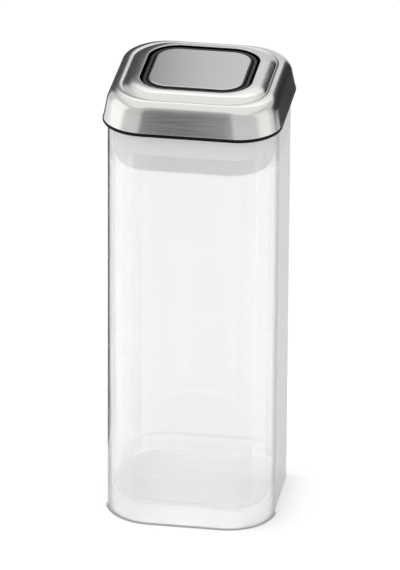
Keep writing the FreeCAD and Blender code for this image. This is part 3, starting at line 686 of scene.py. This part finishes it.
class CANISTER_OT_cover(bpy.types.Operator):
    """Builds the brushed steel cover: skirt, shoulder, crease, crown and turned-down lip"""

    bl_idname = "canister.cover"
    bl_label = "Steel cover"

    def execute(self, context):
        lid = context.scene.canister.lid
        foot, lip = foot_of("steel_cover"), top_of("steel_cover")
        half = half_of("steel_cover")
        crease = half - lid.shoulder_width
        opening = crease - lid.crown_width
        chimney = opening + lid.sheet
        mid = foot + lid.shoulder_height - lid.shoulder_drop
        skirt_top = mid + lid.shoulder_drop * math.sin(lid.shoulder_start)
        skirt_turn = (skirt_top - foot) / lid.shoulder_drop * math.tan(lid.shoulder_start)
        shoulder_turn = math.cos(lid.shoulder_start) - math.cos(lid.shoulder_end)
        reach = lid.shoulder_width / (shoulder_turn + skirt_turn)
        mid_half = crease - reach * math.cos(lid.shoulder_end)
        lean = math.atan(reach / lid.shoulder_drop * math.tan(lid.shoulder_start))
        crown_reach = (crease - chimney) / math.cos(lid.crown_start)
        crown_rise = lid.crown_rise / (1 - math.sin(lid.crown_start))

        def corner(width):
            """Corner radius of an outline, from the opening by the crease to the skirt's foot."""
            end, end_r = (opening, button_corner(opening)) if width < crease else (half, lid_corner(half))
            return end_r + (crease * lid.crease_share - end_r) * (width - end) / (crease - end)

        def side(inset, steps):
            """Points from the skirt's foot up over the shoulder and the crown, moved in by the inset."""
            points = []
            # Two points close to the foot keep its edge crisp
            for rise in (0.0, 0.2 * MM, 0.4 * MM, (skirt_top - foot) * 0.5):
                points.append(Vector((half - inset / math.cos(lean) - rise * math.tan(lean), foot + rise)))
            for step in range(steps + 1):
                turn = lid.shoulder_start + (lid.shoulder_end - lid.shoulder_start) * step / steps
                points.append(Vector((mid_half + (reach - inset) * math.cos(turn),
                                      mid + (lid.shoulder_drop - inset) * math.sin(turn))))
            for step in range(steps + 1):
                turn = lid.crown_start + (math.pi / 2 - lid.crown_start) * step / steps
                point = Vector((chimney + (crown_reach - inset) * math.cos(turn),
                                lip - crown_rise + (crown_rise - inset) * math.sin(turn)))
                if (point - points[-1]).length > SAME_POINT:
                    points.append(point)
            return points

        outer, inner = side(inset=0, steps=28), side(inset=lid.sheet, steps=10)
        rim = eased([
            (chimney, lip, 0),
            (opening, lip, lid.lip_round),
            (opening, lip - lid.lip_depth, 0),
            (chimney, lip - lid.lip_depth, 0),
        ])
        points = outer + rim[1:] + list(reversed(inner)) + [outer[0].copy()]
        cover = swept("canister_steel_cover", points, corner,
                      brushed_steel("brushed_stainless_steel", list(lid.steel)), corner_steps=32, side_steps=12)
        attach(cover, "lid")
        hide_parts("steel_cover")
        return {"FINISHED"}


class CANISTER_OT_ring(bpy.types.Operator):
    """Builds the black ring between the jar and the lid"""

    bl_idname = "canister.ring"
    bl_label = "Black ring"

    def execute(self, context):
        lid, seal = context.scene.canister.lid, context.scene.canister.seal
        half, low, high = half_of("rim_ring"), foot_of("rim_ring"), top_of("rim_ring")
        inner = half_of("seal_gasket") - seal.gasket_wall
        points = band(inner, half, low, high, lid.ring_bead)
        # Thermoplastic rubber, matt and almost black, with a dusty grit of about 0.4 mm
        rubber = moulded_plastic("moulded_black_rubber", list(lid.black), 0.5, 0.4 * MM, 0.015 * MM, shine=0.12)
        ring = swept("canister_rim_ring", points, lid_corner, rubber)
        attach(ring, "lid")
        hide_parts("rim_ring")
        return {"FINISHED"}


class CANISTER_OT_button(bpy.types.Operator):
    """Builds the steel button plate, the black button under it and the bezel round it"""

    bl_idname = "canister.button"
    bl_label = "Button and bezel"

    def execute(self, context):
        sizes, lid = context.scene.canister.button, context.scene.canister.lid
        steel = brushed_steel("brushed_stainless_steel", list(lid.steel))

        half, low, high = half_of("button_plate"), foot_of("button_plate"), top_of("button_plate")
        points = eased([(0, low, 0), (half, low, METAL_EDGE), (half, high, sizes.plate_edge), (0, high, 0)])
        plate = swept("canister_button_plate", points, button_corner, steel, straight_grain=True)
        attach(plate, "button")
        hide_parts("button_plate")

        plate_gap, rim_edge, hollow_round = 0.05 * MM, 0.15 * MM, 0.6 * MM
        seat_half, seat = half + plate_gap, low
        half, low, high = half_of("button_body"), foot_of("button_body"), top_of("button_body")
        under = seat - sizes.top_wall
        hollow = half - sizes.skirt_wall

        def corner(width):
            return round_corner(width) if width < 2 * sizes.pilot else button_corner(width)

        points = eased([
            (0, under + sizes.pilot_depth, 0),
            (sizes.pilot, under + sizes.pilot_depth, 0),
            (sizes.pilot, under, FINE_EDGE),
            (hollow, under, hollow_round),
            (hollow, low, SOFT_EDGE),
            (half, low, SOFT_EDGE),
            (half, high, sizes.body_edge),
            (seat_half, high, rim_edge),
            (seat_half, seat, 0),
            (0, seat, 0),
        ])
        body = swept("canister_button_body", points, corner, black_plastic())
        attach(body, "button")
        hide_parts("button_body")

        low, high = foot_of("button_bezel"), top_of("button_bezel")
        guide = half + sizes.guide_gap
        outer, foot_half = guide + sizes.bezel_wall, half_of("button_bezel")
        foot_top, foot_round = low + sizes.bezel_foot, 0.4 * MM
        points = eased([
            (guide, low, FINE_EDGE),
            (foot_half, low, FINE_EDGE),
            (foot_half, foot_top, SOFT_EDGE),
            (outer, foot_top, foot_round),
            (outer, high, sizes.bezel_edge),
            (guide, high, sizes.bezel_edge),
        ], closed=True)
        bezel = swept("canister_button_bezel", points, button_corner, black_plastic())
        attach(bezel, "lid")
        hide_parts("button_bezel")
        return {"FINISHED"}


class CANISTER_OT_seal(bpy.types.Operator):
    """Builds the silicone gasket and the pressure plate with its four hooks"""

    bl_idname = "canister.seal"
    bl_label = "Gasket and pressure plate"

    def execute(self, context):
        sizes = context.scene.canister.seal
        low, high = foot_of("seal_gasket"), top_of("seal_gasket")
        inner = half_of("seal_gasket") - sizes.gasket_wall
        # Swollen until it touches the jar's wall
        half = half_of("jar") - context.scene.canister.jar.wall + sizes.press
        points = band(inner, half, low, high, sizes.gasket_edge)
        # Moulded silicone: soft, slightly see-through, with a dusty bloom of about 0.5 mm
        rubber = moulded_plastic("moulded_clear_silicone", list(sizes.silicone), 0.45, 0.5 * MM, 0.01 * MM, 1.41, 0.06)
        gasket = swept("canister_gasket", points, even_corner, rubber)
        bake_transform(gasket)
        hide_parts("seal_gasket")

        half, low, top = half_of("pressure_plate"), foot_of("pressure_plate"), top_of("pressure_plate")
        rim, floor = foot_of("seal_gasket"), low + sizes.tray_floor
        hollow, hollow_round = half - sizes.tray_wall, 0.8 * MM
        plastic = pale_plastic()
        points = eased([
            (0, low, 0),
            (half, low, sizes.tray_edge),
            (half, rim, sizes.tray_lip),
            (hollow, rim, SOFT_EDGE),
            (hollow, floor, hollow_round),
            (0, floor, 0),
        ])
        tray = swept("canister_pressure_plate", points, even_corner, plastic)

        slot_top = top - sizes.hook_roof
        slot_low = slot_top - sizes.hook_slot
        outline = [
            (-sizes.hook_outer, floor), (-sizes.hook_front, floor), (-sizes.hook_front, slot_low),
            (sizes.hook_back - sizes.hook_outer, slot_low), (sizes.hook_back - sizes.hook_outer, slot_top),
            (-sizes.hook_front, slot_top), (-sizes.hook_front, top), (-sizes.hook_outer, top),
        ]
        count = len(outline)
        spots = [(x, y, z) for x in (-sizes.hook_half, sizes.hook_half) for y, z in outline]
        faces = [tuple(range(count)), tuple(range(2 * count - 1, count - 1, -1))]
        faces += [(i, i + count, (i + 1) % count + count, (i + 1) % count) for i in range(count)]
        mesh = bpy.data.meshes.new("canister_plate_hooks")
        mesh.from_pydata(spots, [], faces)
        hooks = piece_object("canister_plate_hooks", mesh)
        bevel = hooks.modifiers.new("Edges", "BEVEL")
        bevel.width = SOFT_EDGE
        bevel.segments = 2
        outwards(hooks)
        apply_tree(hooks, ring_of_copies_tree(), count=4, place=(0.0, 0.0, 0.0), material=plastic)
        hooks.modifiers.clear()
        for piece in (tray, hooks):
            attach(piece, "plate")
        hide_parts("pressure_plate")
        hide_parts("pressure_plate")
        return {"FINISHED"}


class CANISTER_OT_spring(bpy.types.Operator):
    """Builds the coil spring that lifts the button"""

    bl_idname = "canister.spring"
    bl_label = "Spring"

    def execute(self, context):
        sizes = context.scene.canister.hardware
        low, high, reach = foot_of("button_spring"), top_of("button_spring"), half_of("button_spring")
        spring = piece_object("canister_spring", bpy.data.meshes.new("canister_spring"))
        apply_tree(spring, coil_tree(), turns=float(sizes.turns), radius=reach - sizes.wire, wire=sizes.wire,
                   low=low + sizes.wire, height=high - low - 2 * sizes.wire, material=spring_steel())
        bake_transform(spring)
        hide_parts("button_spring")
        return {"FINISHED"}


class CANISTER_OT_fasteners(bpy.types.Operator):
    """Builds the screws that hold the carrier and the stem, and the pins of the four arms"""

    bl_idname = "canister.fasteners"
    bl_label = "Screws and pins"

    def screw(self, name, shank, head_r, head, low, high):
        """A pan-head screw that points up, with a turned recess in its head."""
        dish, dish_end = head_r * 0.5, low + head * 0.55
        dome, tip = head * 0.5, shank * 0.4
        points = eased([
            (0, dish_end, 0),
            (dish * 0.6, dish_end, 0),
            (dish, low, METAL_EDGE),
            (head_r, low, dome),
            (head_r, low + head, METAL_EDGE),
            (shank, low + head, 0),
            (shank, high - shank, FINE_EDGE),
            (tip, high, 0),
            (0, high, 0),
        ])
        return turned(name, points)

    def execute(self, context):
        sizes = context.scene.canister.hardware
        stem = self.screw("canister_stem_screw", sizes.stem_shank, half_of("stem_screw"), sizes.head,
                          foot_of("stem_screw"), top_of("stem_screw"))
        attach(stem, "button")
        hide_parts("stem_screw")

        head_r = half_of("stem_screw")
        place = half_of("carrier_screws") - head_r
        screws = self.screw("canister_carrier_screws", sizes.shank, head_r, sizes.head,
                            foot_of("carrier_screws"), top_of("carrier_screws"))
        apply_tree(screws, ring_of_copies_tree(), count=4, place=(place, place, 0.0), material=plated_steel())
        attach(screws, "lid")
        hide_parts("carrier_screws")

        low, high = foot_of("fulcrum_pins"), top_of("fulcrum_pins")
        radius, middle = (high - low) / 2, (high + low) / 2
        reach, edge = sizes.pin_length / 2, sizes.pin_edge
        pins = turned("canister_arm_pins",
                      eased([(0, -reach, 0), (radius, -reach, edge), (radius, reach, edge), (0, reach, 0)]))
        pins.data.transform(Matrix.Rotation(math.pi / 2, 4, "Y"))
        place = half_of("fulcrum_pins") - radius
        apply_tree(pins, ring_of_copies_tree(), count=4, place=(0.0, -place, middle), material=plated_steel())
        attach(pins, "lid")
        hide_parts("fulcrum_pins")
        return {"FINISHED"}


class CANISTER_OT_works(bpy.types.Operator):
    """Gives the lid's inner pieces their finishes"""

    bl_idname = "canister.works"
    bl_label = "Inner works"

    def execute(self, context):
        # Acetal is slippery and waxy white, and takes a fine grit of about 0.4 mm from its mould
        acetal = moulded_plastic("moulded_white_acetal", linear("#EDECE8"), 0.3, 0.4 * MM, 0.008 * MM, 1.48, 0.1)
        finishes = {
            "lid_frame": black_plastic(),
            "gasket_carrier": pale_plastic(),
            "button_stem": acetal,
            "latch_follower": spring_steel(),
        }
        for side in ("front", "right", "rear", "left"):
            finishes["rocker_arm_" + side] = acetal
        for node, material in finishes.items():
            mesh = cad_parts[node].data
            mesh.materials.clear()
            mesh.materials.append(material)
        return {"FINISHED"}


class CANISTER_OT_stage(bpy.types.Operator):
    """Sets the floor, the soft studio light and the camera"""

    bl_idname = "canister.stage"
    bl_label = "Stage"

    def seen(self, tree):
        """1 for what eyes, mirrors and glass see, and 0 for the light that falls on matt surfaces."""
        ray = add(tree, "ShaderNodeLightPath").outputs
        seen = ray["Is Camera Ray"]
        for kind in ("Is Glossy Ray", "Is Transmission Ray"):
            seen = add(tree, "ShaderNodeMath", {0: seen, 1: ray[kind]}, operation="MAXIMUM").outputs[0]
        return seen

    def stage_piece(self, name, spots, faces, material, unseen_by=()):
        """A piece of the stage that these kinds of ray pass by."""
        mesh = bpy.data.meshes.new(name)
        mesh.from_pydata(spots, [], faces)
        mesh.materials.append(material)
        piece = piece_object(name, mesh)
        for ray in unseen_by:
            setattr(piece, "visible_" + ray, False)
        return piece

    def card(self, name, corners, material):
        """A card with four corners that only mirrors see."""
        card = self.stage_piece(name, corners, [(0, 1, 2, 3)], material,
                                ("camera", "diffuse", "shadow", "transmission"))
        spread = card.data.uv_layers.new(name="UVMap")
        for loop, spot in zip(spread.data, ((-1, -1), (1, -1), (1, 1), (-1, 1))):
            loop.uv = spot

    def cloth(self, name, soft, tone, glow=1.0):
        """Cloth that thins out over this share of a card. White cloth with a glow of 1 is as bright as paper."""
        cloth, tree = new_material(name)
        spread = add(tree, "ShaderNodeUVMap", uv_map="UVMap").outputs[0]
        spread = add(tree, "ShaderNodeVectorMath", {0: spread}, operation="ABSOLUTE").outputs[0]
        side = add(tree, "ShaderNodeSeparateXYZ", {0: spread}).outputs
        across, up = (
            add(tree, "ShaderNodeMapRange", {0: way, 1: 1 - soft, 2: 1.0, 3: 1.0, 4: 0.0},
                interpolation_type="SMOOTHSTEP").outputs[0] for way in (side[0], side[1]))
        cover = add(tree, "ShaderNodeMath", {0: across, 1: up}, operation="MULTIPLY").outputs[0]
        clear = add(tree, "ShaderNodeBsdfTransparent")
        lit = add(tree, "ShaderNodeEmission", {"Color": linear(tone), "Strength": glow})
        mixed = add(tree, "ShaderNodeMixShader", {0: cover, 1: clear.outputs[0], 2: lit.outputs[0]})
        close_material(tree, mixed)
        return cloth

    def lamp(self, name, place, aim, size, glow):
        """A soft lamp of one even brightness, where 1 is as bright as white paper."""
        data = bpy.data.lights.new(name, "AREA")
        data.shape = "RECTANGLE"
        data.size, data.size_y = size
        data.energy = glow * math.pi * size[0] * size[1]
        lamp = piece_object(name, data)
        lamp.location = place
        lamp.rotation_euler = (Vector(aim) - Vector(place)).to_track_quat("-Z", "Y").to_euler()
        lamp.visible_camera = False
        lamp.visible_transmission = False
        return lamp

    def floor(self, sizes):
        """White paper. Eyes, mirrors and glass see it lifted to white, and the canister's shadow stays on it."""
        lift, wide, level = 0.32, 30.0, -0.1 * MM
        paper, tree = new_material("white_paper_floor")
        matt = add(tree, "ShaderNodeBsdfDiffuse", {"Color": list(sizes.floor)})
        glow = add(tree, "ShaderNodeMath", {0: self.seen(tree), 1: lift}, operation="MULTIPLY").outputs[0]
        glow = add(tree, "ShaderNodeEmission", {"Strength": glow})
        both = add(tree, "ShaderNodeAddShader", {0: matt.outputs[0], 1: glow.outputs[0]})
        close_material(tree, both)
        corners = [(-wide, -wide, level), (wide, -wide, level), (wide, wide, level), (-wide, wide, level)]
        self.stage_piece("floor", corners, [(0, 1, 2, 3)], paper)

    def shades(self):
        """A ribbon under the front of the foot and a strip at its right that only shadows see: the jar casts none."""
        lift, ribbon_in, ribbon_out = 0.1 * MM, 2.2 * MM, 1 * MM
        strip_from, strip_in, strip_height = 300, 1 * MM, 9 * MM
        half = half_of("jar")
        corner = even_corner(half)
        ribbon, strip = [], []
        for side, first, last in ((-1, 190, 270), (1, 270, 360)):
            centre = Vector((side * (half - corner), corner - half, lift))
            for turn in range(first, last + 1, 10):
                out = Vector((math.cos(math.radians(turn)), math.sin(math.radians(turn)), 0))
                ribbon += [centre + out * (corner - ribbon_in), centre + out * (corner + ribbon_out)]
                if turn >= strip_from:
                    foot = centre + out * (corner - strip_in)
                    strip += [foot, foot + Vector((0, 0, strip_height))]
        strip += [spot + Vector((0, half, 0)) for spot in strip[-2:]]
        for name, spots in (("foot_shade", ribbon), ("side_shade", strip)):
            faces = [(i, i + 1, i + 3, i + 2) for i in range(0, len(spots) - 2, 2)]
            self.stage_piece(name, spots, faces, black_plastic(), ("camera", "glossy", "transmission"))

    def surround(self, scene):
        """White for eyes, mirrors and glass, and a softer light for matt surfaces."""
        matt_light = 0.74
        world = bpy.data.worlds.new("studio")
        scene.world = world
        world.use_nodes = True
        tree = world.node_tree
        tree.nodes.clear()
        strength = add(tree, "ShaderNodeMix", {0: self.seen(tree), 2: matt_light, 3: 1.0}).outputs[0]
        sky = add(tree, "ShaderNodeBackground", {"Strength": strength})
        add(tree, "ShaderNodeOutputWorld", {"Surface": sky.outputs[0]})

    def cards(self):
        """What the steel and the glass mirror: a dark card close in front, two behind under a white one, and three
        on the floor."""
        thin = self.cloth("thin_grey_felt", 1.0, "#3C3C3C")
        grey = self.cloth("grey_felt", 0.12, "#4A4A4A")
        black = self.cloth("black_felt", 0.08, "#303030")
        white = self.cloth("white_silk", 0.2, "#FFFFFF", 1.25)
        # Where an upright card's two sides stand, and its lowest and highest edge
        for name, cloth, left, right, low, high in (
            ("front_card", thin, (-0.135, -0.35), (0.035, -0.35), -0.3, 0.8),
            ("left_card", grey, (-0.75, 0.75), (-0.158, 0.95), 0.0, 0.85),
            ("right_card", black, (0.18, 0.95), (1.3, 0.6), 0.0, 0.7),
            ("rear_card", white, (-1.2, 1.6), (1.2, 1.6), 1.02, 3.2),
        ):
            self.card(name, [(*left, low), (*right, low), (*right, high), (*left, high)], cloth)
        # Where the corners of a card on the floor lie
        level = 2 * MM
        for name, corners in (
            ("right_floor_card", ((0.1, 0.58), (0.5, 0.58), (0.9, 0.95), (0.13, 0.95))),
            ("left_floor_card", ((-0.3, 0.2), (-0.16, 0.2), (-0.33, 0.95), (-0.75, 0.85))),
            ("left_wall_card", ((-0.15, 0.02), (-0.06, 0.03), (-0.15, 0.6), (-0.45, 0.45))),
        ):
            self.card(name, [(x, y, level) for x, y in corners], black)

    def lamps(self):
        """Soft lamps round the canister. Mirrors don't see the one in front."""
        self.lamp("left_softbox", (-1.3, -0.1, 0.55), (0, 0, 0.2), (1.3, 1.1), 0.6)
        self.lamp("right_softbox", (1.4, -0.2, 0.55), (0, 0, 0.2), (1.0, 1.1), 0.35)
        self.lamp("top_softbox", (0, 0, 1.7), (0, 0, 0.14), (2.6, 2.6), 0.35)
        fill = self.lamp("front_softbox", (0.2, -1.8, 0.6), (0, 0, 0.2), (1.2, 1.0), 1.2)
        fill.visible_glossy = False

    def camera(self, scene, sizes):
        """A long lens at the photograph's viewing angle."""
        data = bpy.data.cameras.new("camera")
        data.sensor_fit = "HORIZONTAL"
        data.sensor_width = 36.0
        data.lens = sizes.lens
        data.clip_start, data.clip_end = 0.1, 100.0
        camera = piece_object("camera", data)
        a, e = sizes.azimuth, sizes.elevation
        back = Vector((math.sin(a) * math.cos(e), -math.cos(a) * math.cos(e), math.sin(e)))
        aim = Vector((math.cos(a), math.sin(a), 0)) * sizes.aim_right + Vector((0, 0, sizes.aim_height))
        camera.location = aim + back * sizes.distance
        turn = (-back).to_track_quat("-Z", "Y").to_matrix() @ Matrix.Rotation(sizes.roll, 3, "Z")
        camera.rotation_euler = turn.to_euler()
        scene.camera = camera

    def execute(self, context):
        scene = context.scene
        sizes = scene.canister.stage
        scene.view_settings.view_transform = "Standard"
        self.floor(sizes)
        self.shades()
        self.surround(scene)
        self.cards()
        self.lamps()
        self.camera(scene, sizes)
        return {"FINISHED"}


OPERATORS = (
    CANISTER_OT_jar,
    CANISTER_OT_cover,
    CANISTER_OT_ring,
    CANISTER_OT_button,
    CANISTER_OT_seal,
    CANISTER_OT_spring,
    CANISTER_OT_fasteners,
    CANISTER_OT_works,
    CANISTER_OT_stage,
)


class CANISTER_PT_panel(bpy.types.Panel):
    """Lists the canister's pieces in the sidebar"""

    bl_idname = "CANISTER_PT_panel"
    bl_label = "Push-top canister"
    bl_space_type = "VIEW_3D"
    bl_region_type = "UI"
    bl_category = "Canister"

    def draw(self, context):
        for operator in OPERATORS:
            self.layout.operator(operator.bl_idname, text=operator.bl_label)


CLASSES = (
    CanisterJarSettings,
    CanisterLidSettings,
    CanisterButtonSettings,
    CanisterSealSettings,
    CanisterHardwareSettings,
    CanisterStageSettings,
    CanisterSettings,
) + OPERATORS + (CANISTER_PT_panel,)


def register():
    for item in CLASSES:
        bpy.utils.register_class(item)
    bpy.types.Scene.canister = bpy.props.PointerProperty(
        type=CanisterSettings, name="Canister", description="Sizes and colours of the canister")


def unregister():
    del bpy.types.Scene.canister
    for item in reversed(CLASSES):
        bpy.utils.unregister_class(item)


def main():
    register()
    bpy.ops.canister.jar()
    bpy.ops.canister.cover()
    bpy.ops.canister.ring()
    bpy.ops.canister.button()
    bpy.ops.canister.seal()
    bpy.ops.canister.spring()
    bpy.ops.canister.fasteners()
    bpy.ops.canister.works()
    bpy.ops.canister.stage()


if __name__ == "__main__":
    main()
